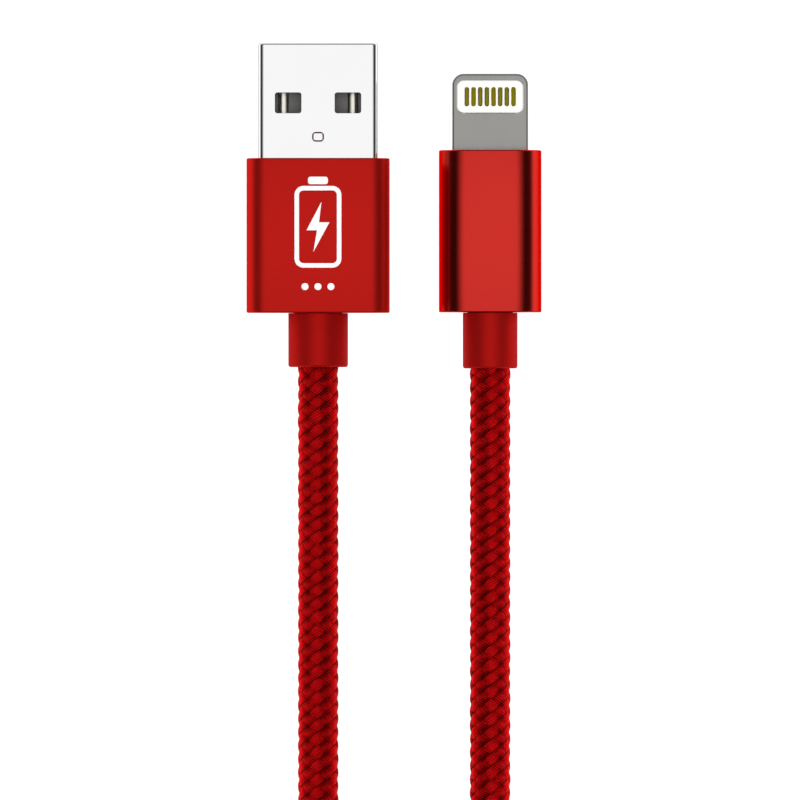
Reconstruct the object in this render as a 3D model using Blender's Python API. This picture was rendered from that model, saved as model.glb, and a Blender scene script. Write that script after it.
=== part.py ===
"""A braided charging cable with a flat four-contact plug at one end and a phone plug at the other.

Units are metres and +Z is up. Both plugs lie flat on the plane z = 0 and point along +Y, side by
side. The origin is under the middle of the four-contact plug. The cord leaves both plugs along -Y,
comes down to the plane and ends in a tied hank, which holds the length that isn't laid out.

Lengths in this file are in millimetres. build_mesh and add_cord turn them into metres.
"""

import math

import bmesh
import bpy
from mathutils import Vector

MM = 0.001
FIT_GAP = 0.05  # between small pieces that fit one inside another
MESH_GAP = 0.3  # between faces that lie against each other

# Four-contact plug, on the line x = 0
USB_AXIS = (0.0, 3.45)  # x and z of the plug's centre line
USB_TIP_Y = 16.27
SHELL_WIDTH, SHELL_HEIGHT, SHELL_SHEET = 12.0, 4.5, 0.3
SHELL_BEND, SHELL_TIP_EDGE = 0.45, 0.12
SHELL_REAR_Y = -1.5
WINDOW_WIDTH, WINDOW_LENGTH, WINDOW_CORNER = 2.65, 2.08, 0.25
WINDOW_X, WINDOW_Y = 3.0, 10.26
USB_HOUSING_WIDTH, USB_HOUSING_HEIGHT, USB_HOUSING_EDGE = 14.38, 6.9, 1.95
USB_HOUSING_FRONT_Y, USB_HOUSING_REAR_Y = 4.71, -10.81
USB_POCKET_HEIGHT, USB_FRONT_LIP, REAR_WALL = 5.2, 1.2, 1.0
TONGUE_WIDTH, TONGUE_TIP_Y, TONGUE_ROOT_Y = 11.0, 15.5, 5.2
CARRIER_REAR_Y = -1.3
TONGUE_TOP, TONGUE_BOTTOM = -0.1, -1.9  # from the plug's axis
CONTACT_WIDTH, CONTACT_THICKNESS, CONTACT_TOP = 1.0, 0.3, -0.05
CONTACT_TAIL_Y = -3.5
USB_CONTACTS = {"power": (-3.5, 14.6), "data_minus": (-1.0, 13.6), "data_plus": (1.0, 13.6), "ground": (3.5, 14.6)}
USB_MOULD_Y = (-6.9, -1.8)
USB_CORD_END_Y = -7.5
USB_FERRULE_Y = (-9.7, -7.8)
USB_FERRULE_RADIUS = 2.35
USB_COLLAR_RADIUS, USB_COLLAR_REAR_Y, USB_SPIGOT_RADIUS = 3.0, -16.27, 2.45

# Phone plug, on the line x = 17.3
PHONE_AXIS = (17.3, 2.85)
PHONE_HOUSING_WIDTH, PHONE_HOUSING_HEIGHT, PHONE_HOUSING_EDGE = 10.34, 5.7, 2.75
PHONE_HOUSING_FRONT_Y, PHONE_HOUSING_REAR_Y = 5.55, -10.76
PHONE_POCKET_WIDTH, PHONE_POCKET_HEIGHT, PHONE_FRONT_WALL = 9.1, 4.54, 0.8
TAB_WIDTH, TAB_THICKNESS, TAB_LENGTH = 7.66, 1.5, 7.7
TAB_CORNER, TAB_EDGE = 1.15, 0.35
FLANGE_WIDTH, FLANGE_Y = 8.4, (1.4, 4.6)
PANEL_WIDTH, PANEL_LENGTH, PANEL_CORNER, PANEL_FROM_TIP = 6.67, 3.35, 0.7, 0.65
PAD_WIDTH, PAD_LENGTH, PAD_THICKNESS, PAD_PITCH, PAD_COUNT = 0.42, 1.9, 0.12, 0.67, 8
BOARD_THICKNESS, BOARD_NECK_WIDTH, BOARD_WIDTH = 0.6, 5.0, 7.0
BOARD_Y, BOARD_SHOULDER_Y = (-4.2, 10.2), 1.1
CHIP_SIZE, CHIP_Y = (3.2, 2.4, 0.7), -1.4
PHONE_MOULD_Y = (-6.6, 1.0)
PHONE_CORD_END_Y = -7.4
PHONE_FERRULE_Y = (-9.6, -7.7)
PHONE_FERRULE_RADIUS = 2.2
PHONE_COLLAR_RADIUS, PHONE_COLLAR_REAR_Y, PHONE_SPIGOT_RADIUS = 2.75, -16.4, 2.3

HOUSING_CHAMFER = 0.12
COLLAR_FILLET = 0.25

# Cord
CORD_DIAMETER = 4.0
CORD_STEP = 9.0  # between the points of its tubes
WIRE_DIAMETER = 0.9
FLOOR_Z = CORD_DIAMETER / 2

# Hank: turns with a narrow waist, two side by side and two high
HANK_NEAR_Y = -62.2
HANK_MIDDLE_X = PHONE_AXIS[0] / 2
WAIST, WAIST_STRAIGHT = 2.05, 3.5  # the inner turn's half width, and half its straight length
LOOP_RADIUS, NECK_RADIUS = 12.1, 16.2  # the inner turn's round ends, and the bends beside the waist
HANK_GROW = 4.05 + CORD_DIAMETER / 2 + 0.15  # from the inner turn's line to the hank's outside
HANK_TOP_NEAR, HANK_TOP_FAR = 12.3, 8.4
TIE_WIDTH, TIE_THICKNESS, TIE_LOWEST = 9.0, 1.0, 0.05
TIE_CORNER = 1.35

LOOKS = {  # colour, roughness, metallic
    "anodised_red": ((0.46, 0.012, 0.010), 0.28, 0.6),
    "plug_steel": ((0.78, 0.78, 0.79), 0.22, 1.0),
    "tab_steel": ((0.42, 0.41, 0.39), 0.35, 1.0),
    "contact_gold": ((0.72, 0.55, 0.20), 0.3, 1.0),
    "white_plastic": ((0.86, 0.86, 0.83), 0.45, 0.0),
    "black_plastic": ((0.035, 0.034, 0.033), 0.4, 0.0),
    "clear_mould": ((0.80, 0.78, 0.70), 0.5, 0.0),
    "board_green": ((0.02, 0.16, 0.07), 0.5, 0.0),
    "chip_black": ((0.02, 0.02, 0.02), 0.5, 0.0),
    "ferrule_brass": ((0.62, 0.46, 0.18), 0.4, 1.0),
    "wire_red": ((0.6, 0.02, 0.02), 0.5, 0.0),
    "wire_white": ((0.8, 0.8, 0.8), 0.5, 0.0),
    "wire_green": ((0.02, 0.35, 0.08), 0.5, 0.0),
    "wire_black": ((0.02, 0.02, 0.02), 0.5, 0.0),
    "braid_red": ((0.45, 0.01, 0.02), 0.6, 0.0),
    "tie_grey": ((0.05, 0.05, 0.055), 0.9, 0.0),
}
WIRE_LOOKS = ("wire_red", "wire_white", "wire_green", "wire_black")


def clear_scene():
    for old in list(bpy.data.objects):
        bpy.data.objects.remove(old, do_unlink=True)


def look(name):
    """The material of that name, made once."""
    if name in bpy.data.materials:
        return bpy.data.materials[name]
    colour, roughness, metallic = LOOKS[name]
    made = bpy.data.materials.new(name)
    made.use_nodes = True
    shader = made.node_tree.nodes["Principled BSDF"]
    shader.inputs["Base Color"].default_value = (*colour, 1.0)
    shader.inputs["Roughness"].default_value = roughness
    shader.inputs["Metallic"].default_value = metallic
    return made


def build_mesh(name, rings, faces, look_name=None):
    """An object from points in millimetres. Without a look it is a cutter, which is never built."""
    mesh = bpy.data.meshes.new(name)
    bm = bmesh.new()
    points = [bm.verts.new(Vector(p) * MM) for p in rings]
    for face in faces:
        bm.faces.new([points[i] for i in face])
    bmesh.ops.recalc_face_normals(bm, faces=bm.faces)
    bm.to_mesh(mesh)
    bm.free()
    made = bpy.data.objects.new(name, mesh)
    bpy.context.scene.collection.objects.link(made)
    if look_name is None:
        made.hide_render = True
        made.display_type = "WIRE"
    else:
        mesh.materials.append(look(look_name))
        mesh.shade_smooth()
        mesh.set_sharp_from_angle(angle=math.radians(35))
    return made


def cut(target, *cutters):
    for cutter in cutters:
        step = target.modifiers.new("cut " + cutter.name, "BOOLEAN")
        step.operation = "DIFFERENCE"
        step.solver = "EXACT"
        step.object = cutter


def rounded_rectangle(width, height, radius, steps=5):
    """Outline points, anticlockwise, centred on 0."""
    outline = []
    corners = ((1, 1, 0), (-1, 1, 90), (-1, -1, 180), (1, -1, 270))
    for side, end, start in corners:
        for i in range(steps + 1):
            turn = math.radians(start + 90 * i / steps)
            outline.append((
                side * (width / 2 - radius) + radius * math.cos(turn),
                end * (height / 2 - radius) + radius * math.sin(turn),
            ))
    return outline


def across(axis, outline, y):
    """An outline stood up across the plug's axis at y."""
    return [(axis[0] + u, y, axis[1] + v) for u, v in outline]


def flat(outline, middle, z):
    """An outline laid flat at height z."""
    return [(middle[0] + u, middle[1] + v, z) for u, v in outline]


def loft_faces(count, rings):
    """Sides between rings of count points each."""
    return [
        (r * count + i, r * count + (i + 1) % count, (r + 1) * count + (i + 1) % count, (r + 1) * count + i)
        for r in range(rings - 1)
        for i in range(count)
    ]


def loft(name, rings, look_name=None):
    """A solid through rings of equally many points, closed at both ends."""
    count = len(rings[0])
    points = [p for ring in rings for p in ring]
    first, last = range(count), range(len(points) - count, len(points))
    faces = loft_faces(count, len(rings)) + [tuple(first), tuple(last)]
    return build_mesh(name, points, faces, look_name)


def sleeve(name, rings, look_name):
    """A solid whose rings close on themselves: outside from end to end, and back along the inside."""
    count = len(rings[0])
    points = [p for ring in [*rings, rings[0]] for p in ring]
    last = count * len(rings)
    faces = [tuple(i % last for i in face) for face in loft_faces(count, len(rings) + 1)]
    return build_mesh(name, points[:last], faces, look_name)


def turned(name, axis, profile, look_name, sides=36):
    """A ring with the closed profile of (radius, y) points, turned about the plug's axis."""
    circle = [(math.cos(2 * math.pi * i / sides), math.sin(2 * math.pi * i / sides)) for i in range(sides)]
    rings = [across(axis, [(radius * u, radius * v) for u, v in circle], y) for radius, y in profile]
    return sleeve(name, rings, look_name)


def rod_cutter(name, axis, radius, y0, y1, sides=36):
    circle = [(math.cos(2 * math.pi * i / sides), math.sin(2 * math.pi * i / sides)) for i in range(sides)]
    outline = [(radius * u, radius * v) for u, v in circle]
    return loft(name, [across(axis, outline, y0), across(axis, outline, y1)])


def block(name, axis, xs, ys, zs, look_name=None):
    """A box between limits in x and z from the plug's axis, and in y."""
    outline = [(xs[0], zs[0]), (xs[1], zs[0]), (xs[1], zs[1]), (xs[0], zs[1])]
    return loft(name, [across(axis, outline, ys[0]), across(axis, outline, ys[1])], look_name)


def housing(name, axis, outline_size, ys):
    """A drawn aluminium sleeve's outside, with small chamfers at both ends."""
    width, height, edge = outline_size
    full = rounded_rectangle(width, height, edge, 9)
    less = 2 * HOUSING_CHAMFER
    small = rounded_rectangle(width - less, height - less, edge - HOUSING_CHAMFER, 9)
    rear, front = ys
    rings = [
        across(axis, small, rear),
        across(axis, full, rear + HOUSING_CHAMFER),
        across(axis, full, front - HOUSING_CHAMFER),
        across(axis, small, front),
    ]
    return loft(name, rings, "anodised_red")


def collar(name, axis, radius, spigot, ys, spigot_end):
    """A strain-relief ring behind a housing, with a spigot that goes into the housing's rear wall."""
    rear, front = ys
    bore = CORD_DIAMETER / 2 + FIT_GAP
    fillet = [
        (
            radius - COLLAR_FILLET + COLLAR_FILLET * math.sin(math.radians(a)),
            rear + COLLAR_FILLET - COLLAR_FILLET * math.cos(math.radians(a)),
        )
        for a in (0, 30, 60, 90)
    ]
    profile = [(bore, rear), *fillet, (radius, front), (spigot, front), (spigot, spigot_end), (bore, spigot_end)]
    return turned(name, axis, profile, "anodised_red")


def ferrule(name, axis, radius, ys):
    bore = CORD_DIAMETER / 2 + FIT_GAP
    profile = [(bore, ys[0]), (radius, ys[0]), (radius, ys[1]), (bore, ys[1])]
    return turned(name, axis, profile, "ferrule_brass", 28)


def inner_mould(name, axis, outside, inside, ys):
    """The plastic sleeve moulded round the wires inside a housing."""
    outer = rounded_rectangle(*outside, 3)
    inner = rounded_rectangle(*inside, 3)
    rings = [across(axis, outer, ys[0]), across(axis, outer, ys[1]), across(axis, inner, ys[1]), across(axis, inner, ys[0])]
    return sleeve(name, rings, "clear_mould")


def smooth_route(route, step):
    """Points about step apart on a smooth curve through the route."""
    knots = [Vector(p) for p in route]
    knots = [2 * knots[0] - knots[1], *knots, 2 * knots[-1] - knots[-2]]
    curve = []
    for a, b, c, d in zip(knots, knots[1:], knots[2:], knots[3:]):
        parts = max(1, round((c - b).length / step))
        for i in range(parts):
            t = i / parts
            pull = (2 * b) + (c - a) * t + (2 * a - 5 * b + 4 * c - d) * t**2 + (3 * b - a - 3 * c + d) * t**3
            curve.append(pull / 2)
    return [*curve, knots[-2]]


def add_cord(name, points, diameter, look_name, resolution):
    """A tube of one poly spline with filled caps."""
    curve = bpy.data.curves.new(name, "CURVE")
    curve.dimensions = "3D"
    curve.bevel_depth = diameter / 2 * MM
    curve.bevel_resolution = resolution
    curve.use_fill_caps = True
    spline = curve.splines.new("POLY")
    spline.points.add(len(points) - 1)
    for knot, place in zip(spline.points, points):
        knot.co = (*(Vector(place) * MM), 1.0)
    curve.materials.append(look(look_name))
    made = bpy.data.objects.new(name, curve)
    bpy.context.scene.collection.objects.link(made)


def wires(prefix, axis, starts, start_y, end_y, names):
    """Four wires from their joints, fanned out in a row, back to the end of the cord."""
    turns = (135, 225, 315, 45) if starts[0] < starts[1] else (45, 135, 225, 315)
    for name, look_name, x, turn in zip(names, WIRE_LOOKS, starts, turns):
        end_x = 0.95 * math.cos(math.radians(turn))
        end_z = 0.95 * math.sin(math.radians(turn))
        route = [
            (axis[0] + x, start_y, axis[1] - 0.2),
            (axis[0] + x, start_y - 0.5, axis[1] - 0.2),
            (axis[0] + (x + end_x) / 2, (start_y + end_y) / 2, axis[1] + end_z / 2 - 0.1),
            (axis[0] + end_x, end_y + 0.5, axis[1] + end_z),
            (axis[0] + end_x, end_y, axis[1] + end_z),
        ]
        add_cord(prefix + name, smooth_route(route, 0.7), WIRE_DIAMETER, look_name, 2)


def usb_shell():
    """The folded steel sleeve, with a window pair through its top and bottom."""
    outer = rounded_rectangle(SHELL_WIDTH, SHELL_HEIGHT, SHELL_BEND)
    small = rounded_rectangle(SHELL_WIDTH - 2 * SHELL_TIP_EDGE, SHELL_HEIGHT - 2 * SHELL_TIP_EDGE, SHELL_BEND - SHELL_TIP_EDGE)
    less = 2 * SHELL_SHEET
    inner = rounded_rectangle(SHELL_WIDTH - less, SHELL_HEIGHT - less, SHELL_BEND - SHELL_SHEET)
    rings = [
        across(USB_AXIS, outer, SHELL_REAR_Y),
        across(USB_AXIS, outer, USB_TIP_Y - SHELL_TIP_EDGE),
        across(USB_AXIS, small, USB_TIP_Y),
        across(USB_AXIS, inner, USB_TIP_Y),
        across(USB_AXIS, inner, SHELL_REAR_Y),
    ]
    shell = sleeve("usb_shell", rings, "plug_steel")
    window = rounded_rectangle(WINDOW_WIDTH, WINDOW_LENGTH, WINDOW_CORNER, 3)
    for side, word in ((-1, "left"), (1, "right")):
        middle = (side * WINDOW_X, WINDOW_Y)
        prism = [flat(window, middle, z) for z in (-1.0, SHELL_HEIGHT + 3)]
        cut(shell, loft(f"window_cutter_{word}", prism))


def usb_contacts():
    """The carrier with its tongue, and four contacts in grooves along it."""
    half, tall = TONGUE_WIDTH / 2, SHELL_HEIGHT / 2 - SHELL_SHEET - 2 * FIT_GAP
    outline = [
        (CARRIER_REAR_Y, TONGUE_BOTTOM), (TONGUE_TIP_Y - 0.4, TONGUE_BOTTOM), (TONGUE_TIP_Y, TONGUE_BOTTOM + 0.4),
        (TONGUE_TIP_Y, TONGUE_TOP - 0.4), (TONGUE_TIP_Y - 0.4, TONGUE_TOP), (TONGUE_ROOT_Y, TONGUE_TOP),
        (TONGUE_ROOT_Y, tall), (CARRIER_REAR_Y, tall),
    ]
    rings = [[(USB_AXIS[0] + x, y, USB_AXIS[1] + z) for y, z in outline] for x in (-half, half)]
    carrier = loft("usb_contact_carrier", rings, "black_plastic")
    top, low = CONTACT_TOP, CONTACT_TOP - CONTACT_THICKNESS
    for name, (x, front) in USB_CONTACTS.items():
        reach = CONTACT_WIDTH / 2
        groove = (x - reach - FIT_GAP, x + reach + FIT_GAP)
        cut(carrier, block(f"groove_cutter_{name}", USB_AXIS, groove, (CARRIER_REAR_Y - 1, front + 0.1), (low - FIT_GAP, top + 0.1)))
        side = [(CONTACT_TAIL_Y, low), (front, low), (front, top - 0.2), (front - 0.25, top), (CONTACT_TAIL_Y, top)]
        rings = [[(USB_AXIS[0] + x + e, y, USB_AXIS[1] + z) for y, z in side] for e in (-reach, reach)]
        loft(f"usb_contact_{name}", rings, "contact_gold")


def usb_housing():
    size = (USB_HOUSING_WIDTH, USB_HOUSING_HEIGHT, USB_HOUSING_EDGE)
    made = housing("usb_housing", USB_AXIS, size, (USB_HOUSING_REAR_Y, USB_HOUSING_FRONT_Y))
    mouth = rounded_rectangle(SHELL_WIDTH + 2 * FIT_GAP, SHELL_HEIGHT + 2 * FIT_GAP, SHELL_BEND + FIT_GAP)
    pocket = rounded_rectangle(SHELL_WIDTH + 4 * FIT_GAP, USB_POCKET_HEIGHT, 0.9)
    lip, rear = USB_HOUSING_FRONT_Y - USB_FRONT_LIP, USB_HOUSING_REAR_Y + REAR_WALL
    cut(
        made,
        loft("usb_pocket_cutter", [across(USB_AXIS, pocket, y) for y in (rear, lip)]),
        loft("usb_mouth_cutter", [across(USB_AXIS, mouth, y) for y in (lip - 0.5, USB_HOUSING_FRONT_Y + 1)]),
        rod_cutter("usb_rear_cutter", USB_AXIS, USB_SPIGOT_RADIUS + FIT_GAP, USB_HOUSING_REAR_Y - 1, rear + 0.5),
    )


def usb_plug():
    usb_shell()
    usb_contacts()
    usb_housing()
    inner_mould("usb_inner_mould", USB_AXIS, (12.0, 5.0, 0.8), (9.6, 3.4, 0.5), USB_MOULD_Y)
    ferrule("usb_crimp_ferrule", USB_AXIS, USB_FERRULE_RADIUS, USB_FERRULE_Y)
    ends = (USB_COLLAR_REAR_Y, USB_HOUSING_REAR_Y - FIT_GAP)
    collar("usb_collar", USB_AXIS, USB_COLLAR_RADIUS, USB_SPIGOT_RADIUS, ends, USB_HOUSING_REAR_Y + REAR_WALL - 2 * FIT_GAP)
    names = [f"wire_{word}" for word in USB_CONTACTS]
    starts = [x for x, _ in USB_CONTACTS.values()]
    wires("usb_", USB_AXIS, starts, CONTACT_TAIL_Y - 0.2, USB_CORD_END_Y + 0.2, names)


def tab_tip_y():
    return PHONE_HOUSING_FRONT_Y + TAB_LENGTH


def panel_middle():
    return (PHONE_AXIS[0], tab_tip_y() - PANEL_FROM_TIP - PANEL_LENGTH / 2)


def tab_outline():
    """The metal frame seen from above: a tab with round corners on a wider flange."""
    half, wing, tip = TAB_WIDTH / 2, FLANGE_WIDTH / 2, tab_tip_y()
    corner = [
        (
            half - TAB_CORNER + TAB_CORNER * math.cos(math.radians(a)),
            tip - TAB_CORNER + TAB_CORNER * math.sin(math.radians(a)),
        )
        for a in range(0, 91, 15)
    ]
    right = [(wing, FLANGE_Y[0]), (wing, FLANGE_Y[1]), (half, FLANGE_Y[1]), *corner]
    return right + [(-x, y) for x, y in reversed(right)]


def phone_frame():
    thick = TAB_THICKNESS / 2
    rings = [flat(tab_outline(), (PHONE_AXIS[0], 0.0), PHONE_AXIS[1] + z) for z in (-thick, thick)]
    frame = loft("phone_plug_frame", rings, "tab_steel")
    edge = frame.modifiers.new("rounded edges", "BEVEL")
    edge.width = TAB_EDGE * MM
    edge.segments = 3
    edge.limit_method = "ANGLE"
    edge.angle_limit = math.radians(50)
    window = rounded_rectangle(PANEL_WIDTH, PANEL_LENGTH, PANEL_CORNER, 4)
    slot = BOARD_NECK_WIDTH / 2 + FIT_GAP
    high = BOARD_THICKNESS / 2 + FIT_GAP
    cut(
        frame,
        loft("panel_window_cutter", [flat(window, panel_middle(), PHONE_AXIS[1] + z) for z in (-2, 2)]),
        block("board_slot_cutter", PHONE_AXIS, (-slot, slot), (FLANGE_Y[0] - 1, panel_middle()[1]), (-high, high)),
    )


def pad_outline(grow):
    return rounded_rectangle(PAD_WIDTH + grow, PAD_LENGTH + grow, (PAD_WIDTH + grow) / 2 - 0.001, 3)


def phone_contacts():
    """The white carrier, and a row of gold pads let into each of its faces."""
    less = 2 * FIT_GAP
    face = TAB_THICKNESS / 2 - 0.02
    outline = rounded_rectangle(PANEL_WIDTH - less, PANEL_LENGTH - less, PANEL_CORNER - FIT_GAP, 4)
    rings = [flat(outline, panel_middle(), PHONE_AXIS[1] + z) for z in (-face, face)]
    carrier = loft("phone_contact_carrier", rings, "white_plastic")
    slot = BOARD_NECK_WIDTH / 2 + FIT_GAP
    high = BOARD_THICKNESS / 2 + FIT_GAP
    notch = (BOARD_Y[1] - 1, BOARD_Y[1] + FIT_GAP)
    cut(carrier, block("carrier_notch_cutter", PHONE_AXIS, (-slot, slot), notch, (-high, high)))
    for side, word in ((1, "front"), (-1, "back")):
        for i in range(PAD_COUNT):
            middle = (panel_middle()[0] + (i - (PAD_COUNT - 1) / 2) * PAD_PITCH, panel_middle()[1])
            top, low = face + 0.01, face - PAD_THICKNESS
            heights = [PHONE_AXIS[1] + side * z for z in (low, top)]
            loft(f"phone_contact_{word}_{i + 1}", [flat(pad_outline(0), middle, z) for z in heights], "contact_gold")
            heights = [PHONE_AXIS[1] + side * z for z in (low - 0.03, top + 0.5)]
            pocket = [flat(pad_outline(0.05), middle, z) for z in heights]
            cut(carrier, loft(f"pad_cutter_{word}_{i + 1}", pocket))


def phone_board():
    """The circuit board, whose neck reaches through the frame, and the control chip on it."""
    neck, wide = BOARD_NECK_WIDTH / 2, BOARD_WIDTH / 2
    right = [(wide, BOARD_Y[0]), (wide, BOARD_SHOULDER_Y), (neck, BOARD_SHOULDER_Y), (neck, BOARD_Y[1])]
    outline = right + [(-x, y) for x, y in reversed(right)]
    half = BOARD_THICKNESS / 2
    rings = [flat(outline, (PHONE_AXIS[0], 0.0), PHONE_AXIS[1] + z) for z in (-half, half)]
    loft("phone_circuit_board", rings, "board_green")
    x, y, z = CHIP_SIZE
    low = half + FIT_GAP
    block("phone_control_chip", PHONE_AXIS, (-x / 2, x / 2), (CHIP_Y - y / 2, CHIP_Y + y / 2), (low, low + z), "chip_black")


def phone_housing():
    size = (PHONE_HOUSING_WIDTH, PHONE_HOUSING_HEIGHT, PHONE_HOUSING_EDGE)
    made = housing("phone_housing", PHONE_AXIS, size, (PHONE_HOUSING_REAR_Y, PHONE_HOUSING_FRONT_Y))
    mouth = rounded_rectangle(TAB_WIDTH + 2 * FIT_GAP, TAB_THICKNESS + 2 * FIT_GAP, TAB_EDGE)
    pocket = rounded_rectangle(PHONE_POCKET_WIDTH, PHONE_POCKET_HEIGHT, 2.1, 8)
    wall, rear = PHONE_HOUSING_FRONT_Y - PHONE_FRONT_WALL, PHONE_HOUSING_REAR_Y + REAR_WALL
    cut(
        made,
        loft("phone_pocket_cutter", [across(PHONE_AXIS, pocket, y) for y in (rear, wall)]),
        loft("phone_mouth_cutter", [across(PHONE_AXIS, mouth, y) for y in (wall - 0.5, PHONE_HOUSING_FRONT_Y + 1)]),
        rod_cutter("phone_rear_cutter", PHONE_AXIS, PHONE_SPIGOT_RADIUS + FIT_GAP, PHONE_HOUSING_REAR_Y - 1, rear + 0.5),
    )


def phone_plug():
    phone_frame()
    phone_contacts()
    phone_board()
    phone_housing()
    inner_mould("phone_inner_mould", PHONE_AXIS, (8.9, 4.3, 2.0), (7.2, 2.9, 0.5), PHONE_MOULD_Y)
    ferrule("phone_crimp_ferrule", PHONE_AXIS, PHONE_FERRULE_RADIUS, PHONE_FERRULE_Y)
    ends = (PHONE_COLLAR_REAR_Y, PHONE_HOUSING_REAR_Y - FIT_GAP)
    spigot_end = PHONE_HOUSING_REAR_Y + REAR_WALL - 2 * FIT_GAP
    collar("phone_collar", PHONE_AXIS, PHONE_COLLAR_RADIUS, PHONE_SPIGOT_RADIUS, ends, spigot_end)
    names = ("wire_power", "wire_data_minus", "wire_data_plus", "wire_ground")
    wires("phone_", PHONE_AXIS, (-2.4, -0.85, 0.85, 2.4), BOARD_Y[0] - 0.2, PHONE_CORD_END_Y + 0.2, names)


def hank_face_y():
    """Where a cord's flat end first comes near the round end of the hank."""
    radius = LOOP_RADIUS + HANK_GROW
    aside = HANK_MIDDLE_X - CORD_DIAMETER / 2
    return HANK_NEAR_Y - radius + math.sqrt(radius**2 - aside**2)


def cord_route(axis, start_y, collar_y):
    """From inside a plug, straight out of its collar, down to the plane and along it to the hank."""
    x, z = axis
    drop = z - FLOOR_Z
    end_y = hank_face_y() + MESH_GAP
    return [
        (x, start_y, z),
        (x, collar_y + 2.0, z),
        (x, collar_y - 1.0, z),
        (x, collar_y - 6.0, FLOOR_Z + 0.86 * drop),
        (x, collar_y - 12.5, FLOOR_Z + 0.42 * drop),
        (x, collar_y - 19.0, FLOOR_Z + 0.07 * drop),
        (x, collar_y - 25.0, FLOOR_Z),
        (x, collar_y - 34.0, FLOOR_Z),
        (x, end_y, FLOOR_Z),
    ]


def hank_quarter():
    """The hank's outside from its waist, at the right, to the middle of its near end."""
    neck_x = WAIST + NECK_RADIUS
    rise = math.sqrt((LOOP_RADIUS + NECK_RADIUS) ** 2 - neck_x**2)
    loop_y = WAIST_STRAIGHT + rise
    meet = math.degrees(math.atan2(rise, neck_x))
    neck, loop = NECK_RADIUS - HANK_GROW, LOOP_RADIUS + HANK_GROW
    bend = [math.radians(180 - meet * i / 6) for i in range(6)]
    end = [math.radians(-meet + (90 + meet) * i / 14) for i in range(15)]
    points = [(neck_x + neck * math.cos(a), WAIST_STRAIGHT + neck * math.sin(a)) for a in bend]
    points += [(loop * math.cos(a), loop_y + loop * math.sin(a)) for a in end]
    return points, loop_y + loop


def hank():
    """The folded cord's outer shape: a narrow waist between two round ends, lower at the far end."""
    right, half_length = hank_quarter()
    near = right + [(-x, y) for x, y in reversed(right[:-1])]
    outline = near + [(x, -y) for x, y in reversed(near)]
    middle = (HANK_MIDDLE_X, HANK_NEAR_Y - half_length)
    base = flat(outline, middle, 0.0)
    slope = (HANK_TOP_NEAR - HANK_TOP_FAR) / (2 * half_length)
    top = [(x, y, HANK_TOP_NEAR + slope * (y - HANK_NEAR_Y)) for x, y, _ in base]
    made = loft("cord_hank", [base, top], "braid_red")
    under = TIE_LOWEST + TIE_THICKNESS + MESH_GAP
    reach = TIE_WIDTH / 2 + MESH_GAP
    ys = (middle[1] - reach, middle[1] + reach)
    cut(made, block("tie_groove_cutter", (HANK_MIDDLE_X, 0.0), (-20, 20), ys, (-1.0, under)))
    return middle


def hank_tie(middle):
    """A strap round the hank's waist."""
    waist = WAIST + HANK_GROW + MESH_GAP
    top = (HANK_TOP_NEAR + HANK_TOP_FAR) / 2 + 0.25 + MESH_GAP
    low = TIE_LOWEST + TIE_THICKNESS
    centre = (middle[0], (top + low) / 2)
    inner = rounded_rectangle(2 * waist, top - low, TIE_CORNER - TIE_THICKNESS)
    outer = rounded_rectangle(2 * waist + 2 * TIE_THICKNESS, top - low + 2 * TIE_THICKNESS, TIE_CORNER)
    rear, front = middle[1] - TIE_WIDTH / 2, middle[1] + TIE_WIDTH / 2
    rings = [across(centre, outer, rear), across(centre, outer, front), across(centre, inner, front), across(centre, inner, rear)]
    sleeve("hank_tie", rings, "tie_grey")


def cord():
    usb = cord_route(USB_AXIS, USB_CORD_END_Y, USB_COLLAR_REAR_Y)
    phone = cord_route(PHONE_AXIS, PHONE_CORD_END_Y, PHONE_COLLAR_REAR_Y)
    add_cord("cord_usb_stretch", smooth_route(usb, CORD_STEP), CORD_DIAMETER, "braid_red", 3)
    add_cord("cord_phone_stretch", smooth_route(phone, CORD_STEP), CORD_DIAMETER, "braid_red", 3)
    hank_tie(hank())


clear_scene()
usb_plug()
phone_plug()
cord()
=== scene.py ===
import logging
import math
from collections.abc import Sequence
from dataclasses import dataclass, field
from enum import Enum

import bmesh
import bpy
import numpy as np
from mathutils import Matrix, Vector


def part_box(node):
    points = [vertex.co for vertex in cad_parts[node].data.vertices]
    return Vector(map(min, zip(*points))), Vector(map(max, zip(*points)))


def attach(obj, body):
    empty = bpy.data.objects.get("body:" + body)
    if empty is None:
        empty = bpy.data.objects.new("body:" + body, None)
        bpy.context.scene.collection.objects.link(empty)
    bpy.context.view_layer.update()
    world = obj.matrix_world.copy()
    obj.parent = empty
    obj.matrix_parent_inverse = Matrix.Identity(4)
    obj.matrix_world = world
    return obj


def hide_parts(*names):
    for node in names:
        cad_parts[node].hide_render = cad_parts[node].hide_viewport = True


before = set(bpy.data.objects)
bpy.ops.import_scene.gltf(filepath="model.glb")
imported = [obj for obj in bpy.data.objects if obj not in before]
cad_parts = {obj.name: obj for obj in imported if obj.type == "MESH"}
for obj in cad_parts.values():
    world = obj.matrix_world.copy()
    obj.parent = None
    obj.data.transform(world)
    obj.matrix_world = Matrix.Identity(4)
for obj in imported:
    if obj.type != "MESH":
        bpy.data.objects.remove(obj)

LOG = logging.getLogger("charging_cable")
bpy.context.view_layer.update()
MM = 0.001
Outline = list[tuple[float, float]]
Point = tuple[float, float, float]
Colour = tuple[float, float, float]
Span = tuple[float, float]
Finishes = dict[str, bpy.types.Material]
CORD_DIAMETER = 4.0
FLOOR_Z = CORD_DIAMETER / 2
PAD_COUNT = 8
WIRES: dict[str, Colour] = {
    "red": (0.6, 0.02, 0.02),
    "white": (0.8, 0.8, 0.8),
    "green": (0.02, 0.35, 0.08),
    "black": (0.02, 0.02, 0.02),
}
WIRE_COLOURS = {"power": "red", "data_minus": "white", "data_plus": "green", "ground": "black"}


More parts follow.
